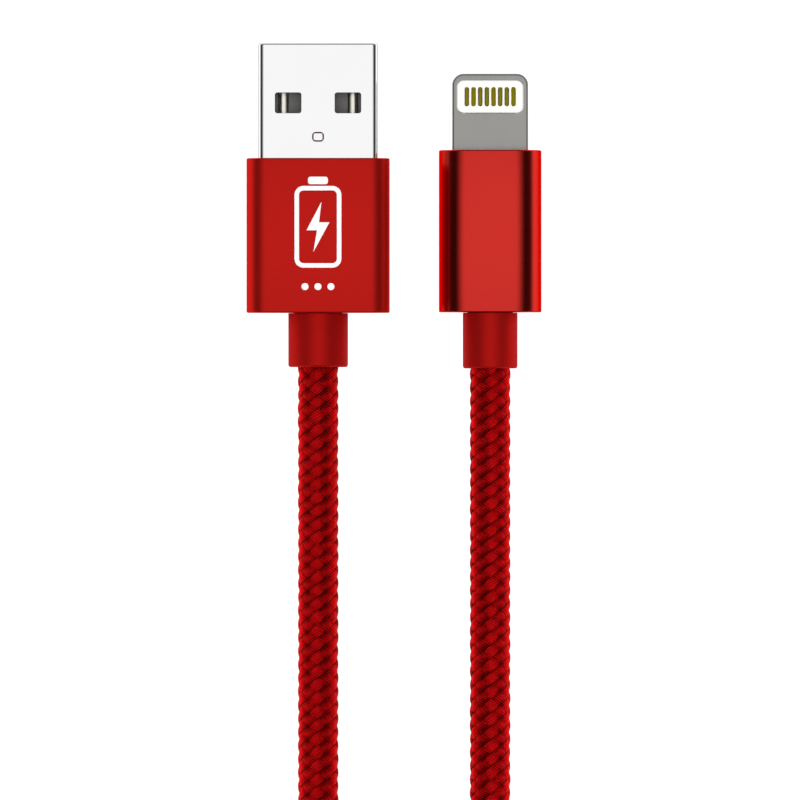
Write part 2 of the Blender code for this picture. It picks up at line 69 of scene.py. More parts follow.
class Side(Enum):
    """Which face of the phone plug a row of pads lies on."""

    FRONT = 1
    BACK = -1


class Lay(Enum):
    """The two ways round the cord that the carriers of a braid run."""

    RIGHT = 1
    LEFT = -1


class Lane(Enum):
    """How far out a turn of the hank runs, at its start and at its end, from 0 to 1."""

    INSIDE = (0.0, 0.0)
    LEAVING = (0.0, 0.5)
    JOINING = (1.0, 0.5)
    OUTSIDE = (1.0, 1.0)


# --------------------------------------------------------------------------- shader tools


class Signal:
    """A node's output, with arithmetic that adds Math nodes."""

    def __init__(self, bench: "Bench", socket: bpy.types.NodeSocket) -> None:
        """Keep the output and the bench that it belongs to."""
        self.bench = bench
        self.socket = socket

    def math(self, operation: str, *others: "Signal | float") -> "Signal":
        """Add a Math node whose first value is this signal.

        Args:
            operation: the Math node's operation.
            others: its second and third values.

        Returns:
            The node's result.
        """
        return self.bench.math(operation, self, *others)

    def __add__(self, other: "Signal | float") -> "Signal":
        """Add."""
        return self.math("ADD", other)

    def __radd__(self, other: float) -> "Signal":
        """Add, with the number first."""
        return self.math("ADD", other)

    def __sub__(self, other: "Signal | float") -> "Signal":
        """Subtract."""
        return self.math("SUBTRACT", other)

    def __rsub__(self, other: float) -> "Signal":
        """Subtract this signal from a number."""
        return self.bench.math("SUBTRACT", other, self)

    def __mul__(self, other: "Signal | float") -> "Signal":
        """Multiply."""
        return self.math("MULTIPLY", other)

    def __rmul__(self, other: float) -> "Signal":
        """Multiply, with the number first."""
        return self.math("MULTIPLY", other)

    def wave(self, turns: float) -> "Signal":
        """A cosine that goes round once for each 1 / turns of the signal."""
        return (self * (2 * math.pi * turns)).math("COSINE")

    def clamp(self) -> "Signal":
        """The signal held between 0 and 1."""
        return self.math("MAXIMUM", 0.0).math("MINIMUM", 1.0)


class Bench:
    """Builds one material's nodes."""

    def __init__(self, name: str) -> None:
        """Start a material with only its output and its shader.

        Args:
            name: the material's name.
        """
        self.material = bpy.data.materials.new(name)
        self.material.use_nodes = True
        self.start(self.material.node_tree, "ShaderNodeBsdfPrincipled", "ShaderNodeOutputMaterial")

    def start(self, tree: bpy.types.NodeTree, shader: str, output: str) -> None:
        """Empty a tree, and put its shader and its output into it.

        Args:
            tree: the node tree.
            shader: the shader node's type.
            output: the output node's type.
        """
        self.tree = tree
        self.tree.nodes.clear()
        self.shader = self.tree.nodes.new(shader)
        out = self.tree.nodes.new(output)
        self.tree.links.new(self.shader.outputs[0], out.inputs["Surface"])

    def node(
        self, kind: str, settings: dict[str, object], inputs: dict[object, object]
    ) -> bpy.types.Node:
        """Make any other node.

        Args:
            kind: the node's type.
            settings: its properties, which are set first.
            inputs: socket names or numbers, with a signal or a value for each.

        Returns:
            The node.
        """
        made = self.tree.nodes.new(kind)
        for key, value in settings.items():
            setattr(made, key, value)
        for key, value in inputs.items():
            self.feed(made.inputs[key], value)
        return made

    def feed(self, socket: bpy.types.NodeSocket, value: object) -> None:
        """Link a signal to a socket, or set the socket's value.

        Args:
            socket: the socket.
            value: the signal or the value.
        """
        if isinstance(value, Signal):
            self.tree.links.new(value.socket, socket)
        else:
            socket.default_value = value

    def math(self, operation: str, *values: "Signal | float") -> Signal:
        """A Math node of the operation on the values."""
        made = self.node("ShaderNodeMath", {"operation": operation}, dict(enumerate(values)))
        return Signal(self, made.outputs[0])

    def mix(self, factor: Signal, low: Sequence[float], high: Sequence[float]) -> Signal:
        """A colour between two colours.

        Args:
            factor: 0 for the low colour and 1 for the high one.
            low: the low colour.
            high: the high colour.

        Returns:
            The colour.
        """
        made = self.node(
            "ShaderNodeMix",
            {"data_type": "RGBA"},
            {0: factor, 6: (*low, 1.0), 7: (*high, 1.0)},
        )
        return Signal(self, made.outputs[2])

    def attribute(self, name: str) -> Signal:
        """A number that the mesh carries."""
        made = self.node("ShaderNodeAttribute", {"attribute_name": name}, {})
        return Signal(self, made.outputs["Fac"])

    def place(self, stretch: Sequence[float] = (1, 1, 1)) -> Signal:
        """Object coordinates, multiplied along each axis.

        Args:
            stretch: the number that each axis is multiplied by.

        Returns:
            The coordinates.
        """
        at = self.node("ShaderNodeTexCoord", {}, {})
        made = self.node(
            "ShaderNodeVectorMath",
            {"operation": "MULTIPLY"},
            {0: Signal(self, at.outputs["Object"]), 1: tuple(stretch)},
        )
        return Signal(self, made.outputs[0])

    def axis(self, index: int) -> Signal:
        """One object coordinate, in metres."""
        made = self.node("ShaderNodeSeparateXYZ", {}, {0: self.place()})
        return Signal(self, made.outputs[index])

    def noise(
        self, scale: float, detail: float = 3.0, stretch: Sequence[float] = (1, 1, 1)
    ) -> Signal:
        """A noise from 0 to 1, of scale features to the metre.

        Args:
            scale: how many features there are to the metre.
            detail: how many finer layers it has.
            stretch: the number that each axis is multiplied by.

        Returns:
            The noise.
        """
        sizes = {"Vector": self.place(stretch), "Scale": scale, "Detail": detail}
        made = self.node("ShaderNodeTexNoise", {}, sizes)
        return Signal(self, made.outputs[0])

    def bump(self, height: Signal, depth: float) -> None:
        """Feed a height, times depth in metres, to the shader's normal.

        Args:
            height: the height, about 0 to 1.
            depth: what it is multiplied by, in metres.
        """
        sizes = {"Height": height, "Distance": depth, "Strength": 1.0}
        made = self.node("ShaderNodeBump", {}, sizes)
        self.tree.links.new(made.outputs["Normal"], self.shader.inputs["Normal"])

    def base(self, colour: object, roughness: object, metallic: float = 0.0) -> None:
        """Set or link the shader's main sockets.

        Args:
            colour: the colour, or a signal.
            roughness: the roughness, or a signal.
            metallic: how metallic it is.
        """
        plain = isinstance(colour, Signal)
        self.feed(self.shader.inputs["Base Color"], colour if plain else (*colour, 1.0))
        self.feed(self.shader.inputs["Roughness"], roughness)
        self.shader.inputs["Metallic"].default_value = metallic

    def coat(self, weight: float, roughness: float) -> None:
        """A clear coat, the same all over."""
        self.shader.inputs["Coat Weight"].default_value = weight
        self.shader.inputs["Coat Roughness"].default_value = roughness


class SkyBench(Bench):
    """Builds the nodes of the studio's surroundings."""

    def __init__(self, name: str) -> None:
        """Start a world with only its output and its background.

        Args:
            name: the world's name.
        """
        self.world = bpy.data.worlds.new(name)
        self.world.use_nodes = True
        self.start(self.world.node_tree, "ShaderNodeBackground", "ShaderNodeOutputWorld")

    def direction(self) -> tuple[Signal, Signal, Signal]:
        """The three parts of the direction that is looked in.

        Returns:
            Its x, y and z.
        """
        at = self.node("ShaderNodeTexCoord", {}, {})
        made = self.node("ShaderNodeSeparateXYZ", {}, {0: Signal(self, at.outputs["Generated"])})
        return tuple(Signal(self, made.outputs[i]) for i in range(3))


# --------------------------------------------------------------------------- finishes


@dataclass(frozen=True)
class Anodised:
    """Dyed anodised aluminium, blasted to a fine satin before it was dyed."""

    name: str
    colour: Colour
    roughness: float
    edge: Colour = (0.8, 0.25, 0.25)
    metallic: float = 1.0
    grain: float = 0.0000018

    def make(self) -> bpy.types.Material:
        """The material, whose colour at a glancing angle is tinted, as dyed oxide is.

        Returns:
            The material.
        """
        bench = Bench(self.name)
        bench.shader.inputs["Specular Tint"].default_value = (*self.edge, 1.0)
        cloud = bench.noise(260, 3)
        darker = tuple(0.93 * c for c in self.colour)
        colour = bench.mix(cloud, darker, self.colour)
        bench.base(colour, self.roughness + cloud * 0.03, self.metallic)
        bench.bump(bench.noise(9000, 2), self.grain)
        return bench.material


@dataclass(frozen=True)
class Plated:
    """Bright or satin plate on folded or stamped metal, with faint marks from handling."""

    name: str
    colour: Colour
    roughness: float
    brushed: float = 0.0
    shade: float = 0.96
    edge: float = 1.0

    def make(self) -> bpy.types.Material:
        """The material. edge is how bright it stays at a glancing angle.

        Returns:
            The material.
        """
        bench = Bench(self.name)
        bench.shader.inputs["Specular Tint"].default_value = (self.edge, self.edge, self.edge, 1.0)
        cloud = bench.noise(180, 2)
        lines = bench.noise(1800, 2, (1.0, 0.03, 1.0))
        low = tuple(self.shade * c for c in self.colour)
        bench.base(bench.mix(cloud, low, self.colour), self.roughness + lines * 0.05, 1.0)
        if self.brushed:
            bench.bump(lines, self.brushed)
        return bench.material


@dataclass(frozen=True)
class Moulded:
    """Moulded plastic or an extruded wire jacket with a faint surface texture."""

    name: str
    colour: Colour
    roughness: float
    metallic: float = 0.0
    texture: float = 0.000002
    coat: float = 0.0
    gloss: float = 0.5
    edge: Colour = (1.0, 1.0, 1.0)

    def make(self) -> bpy.types.Material:
        """The material. gloss and edge are the strength and the colour of its mirror layer.

        Returns:
            The material.
        """
        bench = Bench(self.name)
        bench.shader.inputs["Specular Tint"].default_value = (*self.edge, 1.0)
        cloud = bench.noise(350, 3)
        low = tuple(0.92 * c for c in self.colour)
        bench.base(bench.mix(cloud, low, self.colour), self.roughness + cloud * 0.06, self.metallic)
        bench.bump(bench.noise(5000, 2), self.texture)
        bench.shader.inputs["Specular IOR Level"].default_value = self.gloss
        if self.coat:
            bench.coat(self.coat, 0.2)
        return bench.material


@dataclass(frozen=True)
class FilamentYarn:
    """Red filament yarn, glossy along the filaments, with painted shade where the carriers dip
    under and between the filaments, and a painted highlight on one lay.
    """

    name: str
    # deep is the colour of the painted shade, and bright that of the lit yarn and its painted
    # highlight.
    bright: Colour
    deep: Colour
    roughness: float
    metallic: float = 0.8
    threads: int = 5

    def make(self) -> bpy.types.Material:
        """The material of the braid's carriers, whose meshes carry crest, carrier and across, which
        it turns into painted shade and a painted highlight.

        Returns:
            The material.
        """
        bench = Bench(self.name)
        # Painted shade: the colour darkens where a carrier dips under the carriers that cross it,
        # and is brightest on its crests.
        crest_shade = bench.attribute("crest_shade")
        # carrier holds a random tone for each carrier, plus a painted highlight that makes every
        # carrier of the right-hand lay brighter.
        carrier = bench.attribute("carrier")
        fleck = bench.noise(4200, 3)
        # Painted shade: thread darkens the grooves between the filaments of each carrier. It also
        # feeds the bump.
        thread = bench.attribute("across").wave(self.threads) * -0.5 + 0.5
        level = (crest_shade * 0.75 + fleck * 0.7 + carrier * 0.3 + thread * 0.65 - 0.80).clamp()
        colour = bench.mix(level, self.deep, self.bright)
        bench.base(colour, self.roughness + fleck * 0.15, self.metallic)
        bench.bump(thread + fleck * 0.8, 0.0001)
        bench.shader.inputs["Specular Tint"].default_value = (0.75, 0.08, 0.08, 1.0)
        bench.shader.inputs["Specular IOR Level"].default_value = 0.15
        return bench.material


@dataclass(frozen=True)
class StrapWeave:
    """Plain-woven strap with a soft nap."""

    name: str
    light: Colour
    dark: Colour
    thread: float = 0.0006

    def make(self) -> bpy.types.Material:
        """The material.

        Returns:
            The material.
        """
        bench = Bench(self.name)
        across = bench.axis(0) + bench.axis(2)
        ribs = across.wave(1 / self.thread) * bench.axis(1).wave(1 / self.thread)
        nap = bench.noise(4200, 3)
        level = (ribs * 0.3 + nap * 0.7 + 0.1).clamp()
        bench.base(bench.mix(level, self.dark, self.light), 0.85)
        bench.bump(ribs * 0.5 + nap, 0.00012)
        bench.shader.inputs["Sheen Weight"].default_value = 0.4
        return bench.material


# --------------------------------------------------------------------------- mesh tools


def rounded(width: float, height: float, radius: float, steps: int = 8) -> Outline:
    """A rounded rectangle's points, anticlockwise, centred on 0.

    Args:
        width: along the first axis.
        height: along the second axis.
        radius: of the corners.
        steps: stretches in each corner.

    Returns:
        The points, without a repeat of the first.
    """
    points: Outline = []
    for right, up, start in ((1, 1, 0), (-1, 1, 90), (-1, -1, 180), (1, -1, 270)):
        for i in range(steps + 1):
            turn = math.radians(start + 90 * i / steps)
            points.append((
                right * (width / 2 - radius) + radius * math.cos(turn),
                up * (height / 2 - radius) + radius * math.sin(turn),
            ))
    return points


def circle(radius: float, sides: int) -> Outline:
    """A circle's points, anticlockwise."""
    turns = [2 * math.pi * i / sides for i in range(sides)]
    return [(radius * math.cos(t), radius * math.sin(t)) for t in turns]


@dataclass
class Piece:
    """A mesh object, built through rings of equal counts or from points and faces."""

    name: str
    rings: list[list[Point]] = field(default_factory=list)
    sharp: float = 35.0

    def solid(self, closed: bool = False) -> bpy.types.Object:
        """Build the mesh through the rings.

        Args:
            closed: join the last ring to the first, as in a sleeve, in place of two end caps.

        Returns:
            The object.
        """
        count, total = len(self.rings[0]), len(self.rings)
        points = [p for ring in self.rings for p in ring]
        faces = []
        for r in range(total if closed else total - 1):
            low, high = r * count, ((r + 1) % total) * count
            for i in range(count):
                j = (i + 1) % count
                faces.append((low + i, low + j, high + j, high + i))
        if not closed:
            faces += [tuple(range(count)), tuple(range((total - 1) * count, total * count))]
        return self.mesh(points, faces)

    def mesh(self, points: Sequence, faces: Sequence) -> bpy.types.Object:
        """Build an object from points in metres and faces, with its faces pointing out.

        Args:
            points: the points, in metres.
            faces: the numbers of each face's points.

        Returns:
            The object.
        """
        mesh = bpy.data.meshes.new(self.name)
        mesh.from_pydata([tuple(p) for p in points], [], faces)
        bm = bmesh.new()
        bm.from_mesh(mesh)
        bmesh.ops.recalc_face_normals(bm, faces=bm.faces)
        bm.to_mesh(mesh)
        bm.free()
        made = bpy.data.objects.new(self.name, mesh)
        bpy.context.scene.collection.objects.link(made)
        smooth(made, self.sharp)
        return made


def smooth(made: bpy.types.Object, sharp: float) -> None:
    """Shade an object smooth, with edges sharper than the angle left sharp."""
    made.data.shade_smooth()
    made.data.set_sharp_from_angle(angle=math.radians(sharp))


def carve(made: bpy.types.Object, cutters: Sequence[bpy.types.Object], sharp: float = 35.0) -> None:
    """Cut the cutters out of an object, and delete them.

    Args:
        made: the object.
        cutters: what is cut out of it, in order.
        sharp: the angle in degrees above which its edges stay sharp.
    """
    for cutter in cutters:
        step = made.modifiers.new("cut", "BOOLEAN")
        step.solver = "EXACT"
        step.object = cutter
    bpy.context.view_layer.update()
    graph = bpy.context.evaluated_depsgraph_get()
    mesh = bpy.data.meshes.new_from_object(made.evaluated_get(graph))
    made.modifiers.clear()
    old, made.data = made.data, mesh
    bpy.data.meshes.remove(old)
    for cutter in cutters:
        bpy.data.objects.remove(cutter, do_unlink=True)
    smooth(made, sharp)


def bevelled(made: bpy.types.Object, width: float, segments: int = 3, angle: float = 50.0) -> None:
    """Round an object's sharp edges with a bevel that stays on it.

    Args:
        made: the object.
        width: the bevel's width, in metres.
        segments: how many faces it has.
        angle: the least angle in degrees of an edge that gets it.
    """
    step = made.modifiers.new("rounded edges", "BEVEL")
    step.width = width
    step.segments = segments
    step.limit_method = "ANGLE"
    step.angle_limit = math.radians(angle)
    step.harden_normals = True


def dress(
    made: bpy.types.Object, material: bpy.types.Material, stands_for: Sequence[str] = ()
) -> bpy.types.Object:
    """Give a piece its material and its body, and hide the CAD nodes it stands for.

    Args:
        made: the piece.
        material: its material.
        stands_for: the CAD nodes that it replaces.

    Returns:
        The piece.
    """
    made.data.materials.clear()
    made.data.materials.append(material)
    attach(made, "root")
    if stands_for:
        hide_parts(*stands_for)
    LOG.info("%s: %s", made.name, material.name)
    return made


def repaint(material: bpy.types.Material, *nodes: str) -> None:
    """Give CAD nodes that stay as they are a better material.

    Args:
        material: the material.
        nodes: the CAD nodes.
    """
    for node in nodes:
        made = bpy.data.objects[node]
        made.data.materials.clear()
        made.data.materials.append(material)
        LOG.info("%s: %s", node, material.name)


@dataclass
class NodeBox:
    """A CAD node's box: its low and high corners, its size and its middle, and rings across it."""

    node: str

    def __post_init__(self) -> None:
        """Read the box."""
        low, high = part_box(self.node)
        self.low, self.high = Vector(low), Vector(high)
        self.size = self.high - self.low
        self.middle = (self.low + self.high) / 2

    def ring(self, outline: Outline, y: float) -> list[Point]:
        """An outline stood up across the node's middle at y."""
        return [(self.middle.x + u, y, self.middle.z + v) for u, v in outline]


# --------------------------------------------------------------------------- the cord's route


@dataclass(frozen=True)
class PlugEnd:
    """Where the cord goes into a plug, in millimetres."""

    x: float
    z: float
    cord_start: float
    collar_end: float


USB_END = PlugEnd(0.0, 3.45, -7.5, -16.27)
PHONE_END = PlugEnd(17.3, 2.85, -7.4, -16.4)


@dataclass(frozen=True)
class HankPlan:
    """The folded cord: turns with a narrow waist, two side by side and two high, in millimetres."""

    near_y: float = -62.2
    middle_x: float = 8.65
    middle_y: float = -105.63
    waist: float = 2.05
    straight: float = 3.5
    loop: float = 12.1
    neck: float = 16.2
    beside: float = 4.05
    strap_lift: float = 1.1
    climb: Span = (-5.5, 14.5)
    drop: Span = (-4.0, 16.0)
    change: Span = (0.35, 1.0)
    parts: int = 60

    def quarter(self, gap: float) -> np.ndarray:
        """One lane from the waist, at the right, to the middle of the near end.

        Args:
            gap: how far outside the inner lane it runs.

        Returns:
            Points in x and y from the hank's middle.
        """
        neck_x = self.waist + self.neck
        rise = math.sqrt((self.loop + self.neck) ** 2 - neck_x**2)
        meet = math.atan2(rise, neck_x)
        up = [(self.waist + gap, self.straight * i / 4) for i in range(4)]
        bend = self.neck - gap
        for i in range(self.parts):
            a = meet * i / self.parts
            up.append((neck_x - bend * math.cos(a), self.straight + bend * math.sin(a)))
        end = self.loop + gap
        for i in range(2 * self.parts + 1):
            a = -meet + (math.pi / 2 + meet) * i / (2 * self.parts)
            up.append((end * math.cos(a), self.straight + rise + end * math.sin(a)))
        return np.array(up)

    def lane(self, side: int, lane: Lane) -> np.ndarray:
        """One side of a turn, from the middle of the far end to the middle of the near end.

        Args:
            side: 1 at the right and -1 at the left.
            lane: how far out it runs. It changes lane near its end.

        Returns:
            Points in x and y from the hank's middle.
        """
        inner, outer = (self.quarter(gap) for gap in (0.0, self.beside))
        way = np.linspace(0, 1, len(inner))
        start, end = lane.value
        far, near = (
            (start + (end - start) * ease(part, self.change))[:, None] for part in (-way[::-1], way)
        )
        low = inner[::-1] * (1 - far) + outer[::-1] * far
        high = inner * (1 - near) + outer * near
        low[:, 1] *= -1
        both = np.vstack([low[:-1], high])
        both[:, 0] *= side
        return both

    def lift(self, y: np.ndarray) -> np.ndarray:
        """How far the strap under the waist lifts the cord."""
        near = np.clip((13.0 - np.abs(y)) / 8.0, 0, 1)
        return self.strap_lift * near * near * (3 - 2 * near)

    def raised(self, points: np.ndarray, level: np.ndarray) -> np.ndarray:
        """Points in x and y and their levels as points in space, in millimetres."""
        z = FLOOR_Z + CORD_DIAMETER * 1.01 * level + self.lift(points[:, 1])
        return np.column_stack([points[:, 0] + self.middle_x, points[:, 1] + self.middle_y, z])

    def route(self) -> np.ndarray:
        """The folded cord from the four-contact plug's side to the phone plug's side.

        Returns:
            Points in millimetres.
        """
        runs = []
        entry = np.array([
            (-8.65, 43.4), (-8.65, 36.0), (-7.9, 27.0), (-5.6, 16.0),
            (-3.2, 7.5), (-2.1, 2.0), (-2.05, 0.0),
        ])
        curve = spaced(catmull(entry, 1.0), 1.0)
        first = self.lane(-1, Lane.INSIDE)[::-1]
        first = np.vstack([curve, first[first[:, 1] < 0]])
        runs.append(self.raised(first, np.zeros(len(first))))
        turns = (
            (1, Lane.INSIDE, 0, 1), (-1, Lane.INSIDE, 1, 1), (1, Lane.LEAVING, 1, 2),
            (-1, Lane.JOINING, 1, 2), (1, Lane.OUTSIDE, 1, 1), (-1, Lane.OUTSIDE, 0, 1),
        )
        for side, lane, low, high in turns:
            line = self.lane(side, lane)
            span = self.climb if side > 0 else self.drop
            level = low + (high - low) * ease(line[:, 1], span)
            run = self.raised(line, level)
            runs.append(run if side > 0 else run[::-1])
        leave = np.array([
            (6.1, 0.0), (6.15, 2.0), (6.45, 8.0), (7.5, 19.0),
            (8.4, 30.0), (8.65, 37.0), (8.65, 43.4),
        ])
        last = self.lane(1, Lane.OUTSIDE)
        last = np.vstack([last[last[:, 1] < 0], spaced(catmull(leave, 1.0), 1.0)])
        runs.append(self.raised(last, np.zeros(len(last))))
        return np.vstack(runs)


def ease(values: np.ndarray, span: Span) -> np.ndarray:
    """A smooth step from 0 to 1 across the span."""
    t = np.clip((values - span[0]) / (span[1] - span[0]), 0, 1)
    return t * t * (3 - 2 * t)


def catmull(knots: np.ndarray, step: float) -> np.ndarray:
    """Points about a step apart on a smooth curve through the knots.

    Args:
        knots: the knots, one to a row.
        step: the distance between points.

    Returns:
        The points, with the last knot.
    """
    knots = np.vstack([2 * knots[0] - knots[1], knots, 2 * knots[-1] - knots[-2]])
    curve = []
    for a, b, c, d in zip(knots, knots[1:], knots[2:], knots[3:]):
        parts = max(1, round(float(np.linalg.norm(c - b)) / step))
        t = (np.arange(parts) / parts)[:, None]
        square, cube = 2 * a - 5 * b + 4 * c - d, 3 * b - a - 3 * c + d
        curve.append((2 * b + (c - a) * t + square * t**2 + cube * t**3) / 2)
    return np.vstack([*curve, knots[-2][None]])


def spaced(points: np.ndarray, step: float) -> np.ndarray:
    """A line's points moved to even steps along it.

    Args:
        points: the line's points.
        step: the distance between points.

    Returns:
        The points.
    """
    gaps = np.linalg.norm(np.diff(points, axis=0), axis=1)
    keep = np.concatenate([[True], gaps > 1e-6])
    points = points[keep]
    far = np.concatenate([[0], np.cumsum(np.linalg.norm(np.diff(points, axis=0), axis=1))])
    at = np.linspace(0, far[-1], max(2, round(far[-1] / step)) + 1)
    return np.column_stack([np.interp(at, far, points[:, i]) for i in range(points.shape[1])])


def stretch(end: PlugEnd, hank: HankPlan) -> np.ndarray:
    """The cord from inside a plug down to the floor and along it to the hank.

    Args:
        end: the plug's end.
        hank: the hank's plan.

    Returns:
        Points in millimetres.
    """
    drop = end.z - FLOOR_Z
    falls = ((6.0, 0.86), (12.5, 0.42), (19.0, 0.07), (25.0, 0.0), (34.0, 0.0))
    level = (end.cord_start, end.collar_end + 2, end.collar_end - 1)
    knots = [(end.x, y, end.z) for y in level]
    knots += [(end.x, end.collar_end - back, FLOOR_Z + share * drop) for back, share in falls]
    knots.append((end.x, hank.near_y - 0.02, FLOOR_Z))
    return catmull(np.array(knots), 1.0)


@dataclass
class CordLine:
    """The cord's centre line, with the way along it and the directions up and aside."""

    points: np.ndarray

    def __post_init__(self) -> None:
        """Work out the distances and directions."""
        gaps = np.linalg.norm(np.diff(self.points, axis=0), axis=1)
        self.far = np.concatenate([[0], np.cumsum(gaps)])
        along = np.gradient(self.points, self.far, axis=0)
        along /= np.linalg.norm(along, axis=1)[:, None]
        up = np.array([0.0, 0.0, 1.0]) - along[:, 2:3] * along
        self.up = up / np.linalg.norm(up, axis=1)[:, None]
        self.aside = np.cross(along, self.up)

    def at(self, run: np.ndarray, turn: np.ndarray, radius: np.ndarray) -> np.ndarray:
        """Points round the line, in millimetres.

        Args:
            run: distances along the line.
            turn: angles from the top.
            radius: distances from the line.

        Returns:
            One row for each point.
        """
        middle, up, aside = (
            np.stack([np.interp(run, self.far, part[:, i]) for i in range(3)], -1)
            for part in (self.points, self.up, self.aside)
        )
        away = np.cos(turn)[..., None] * up + np.sin(turn)[..., None] * aside
        return middle + radius[..., None] * away


def cord_line() -> CordLine:
    """The whole cord from inside one plug to inside the other.

    Returns:
        The line.
    """
    hank = HankPlan()
    raw = np.vstack([stretch(USB_END, hank), hank.route(), stretch(PHONE_END, hank)[::-1]])
    line = spaced(raw, 0.5)
    for _ in range(6):
        line[1:-1] = (line[:-2] + 2 * line[1:-1] + line[2:]) / 4
    return CordLine(spaced(line, 0.5))


# --------------------------------------------------------------------------- the braid


@dataclass(frozen=True)
class Braid:
    """A tubular braid: carriers that spiral both ways, each over one and under one."""

    carriers: int = 6
    lead: float = 8.16
    middle: float = 1.775
    wave: float = 0.085
    width: float = 1.08
    crown: float = 0.19
    start: float = 0.05

    @property
    def slant(self) -> float:
        """The angle between a carrier and the cord."""
        return math.atan2(2 * math.pi * (self.middle + self.wave), self.lead)

    def section(self, fine: bool) -> tuple[np.ndarray, np.ndarray]:
        """A carrier's section: places across its width from -0.5 to 0.5, and heights.

        Args:
            fine: whether it has more points.

        Returns:
            The places and the heights.
        """
        half = [-0.5, -0.42, -0.27, -0.09] if fine else [-0.5, -0.3]
        top = np.array([*half, *([] if fine else [0.0]), *(-v for v in reversed(half))])
        high = self.crown * np.clip(1 - (2 * top) ** 2, 0, 1) ** 0.4
        low = np.array([0.3, -0.3])
        return np.concatenate([top, low]), np.concatenate([high, -0.35 * self.crown * np.ones(2)])

    def build(
        self, name: str, line: CordLine, ends: Span, step: float, fine: bool
    ) -> bpy.types.Object:
        """Build the carriers along a part of the line.

        Args:
            name: the piece's name.
            line: the cord's centre line.
            ends: the distances where the part starts and ends.
            step: the distance between rings.
            fine: whether the section is the fine one.

        Returns:
            The object, whose mesh carries crest, carrier and across, which the yarn's material uses
            for its painted shade and painted highlight.
        """
        places, heights = self.section(fine)
        rings = max(8, round((ends[1] - ends[0]) / step))
        run = np.linspace(ends[0], ends[1], rings + 1)
        count = len(places)
        points, faces, crest_shade, carrier, across = [], [], [], [], []
        random = np.random.default_rng(7)
        shades = random.uniform(0, 0.25, 2 * self.carriers)
        for lay in Lay:
            for k in range(self.carriers):
                turn = 2 * math.pi * (k / self.carriers + lay.value * run / self.lead)
                over = lay.value * np.cos(self.carriers * turn)
                slow, quick = np.sin(run * 0.9 + 11 * shades[k]), np.sin(run * 2.3 + 7 * k)
                wander = 0.05 * slow + 0.04 * quick
                swell = 1 + wander[:, None]
                radius = (self.middle + self.wave * over)[:, None] + heights[None, :] * swell
                offset = places[None, :] * self.width * swell
                sideways = offset * math.cos(self.slant) / radius
                lengthways = -lay.value * offset * math.sin(self.slant)
                angle = turn[:, None] + sideways + self.start
                at = line.at(run[:, None] + lengthways, angle, radius)
                first = sum(len(p) for p in points)
                points.append(at.reshape(-1, 3))
                right = lay is Lay.RIGHT
                # Painted shadow: on the left-hand lay the crest is shifted, skewed across the width
                # and sharpened, so that each carrier is darkest at the end where it meets a
                # crossing carrier.
                late, skew, sharpness = (0.0, 0.0, 1.0) if right else (0.35, 1.5, 1.6)
                phase = (self.carriers * turn + late)[:, None] - skew * places[None, :]
                crest_shade.append(((0.5 + 0.5 * lay.value * np.cos(phase)) ** sharpness).ravel())
                # A random tone for each carrier, plus 0.75 on the right-hand lay, which is a
                # painted highlight that stands in for the light this lay catches.
                shade = shades[k] + 0.75 if right else shades[k + self.carriers]
                carrier.append(np.full(at.shape[0] * count, shade))
                across.append(np.tile(places + 0.5, at.shape[0]))
                rows = first + count * np.arange(rings)[:, None]
                i = np.arange(count)[None, :]
                j = (i + 1) % count
                quads = np.stack([rows + i, rows + j, rows + count + j, rows + count + i], -1)
                faces.extend(quads.reshape(-1, 4).tolist())
                for cap in (first, first + count * rings):
                    faces.append(list(range(cap, cap + count)))
        made = Piece(name, sharp=70).mesh(np.vstack(points) * MM, faces)
        for word, values in (("crest_shade", crest_shade), ("carrier", carrier), ("across", across)):
            layer = made.data.attributes.new(word, "FLOAT", "POINT")
            layer.data.foreach_set("value", np.concatenate(values).astype(np.float32))
        return made


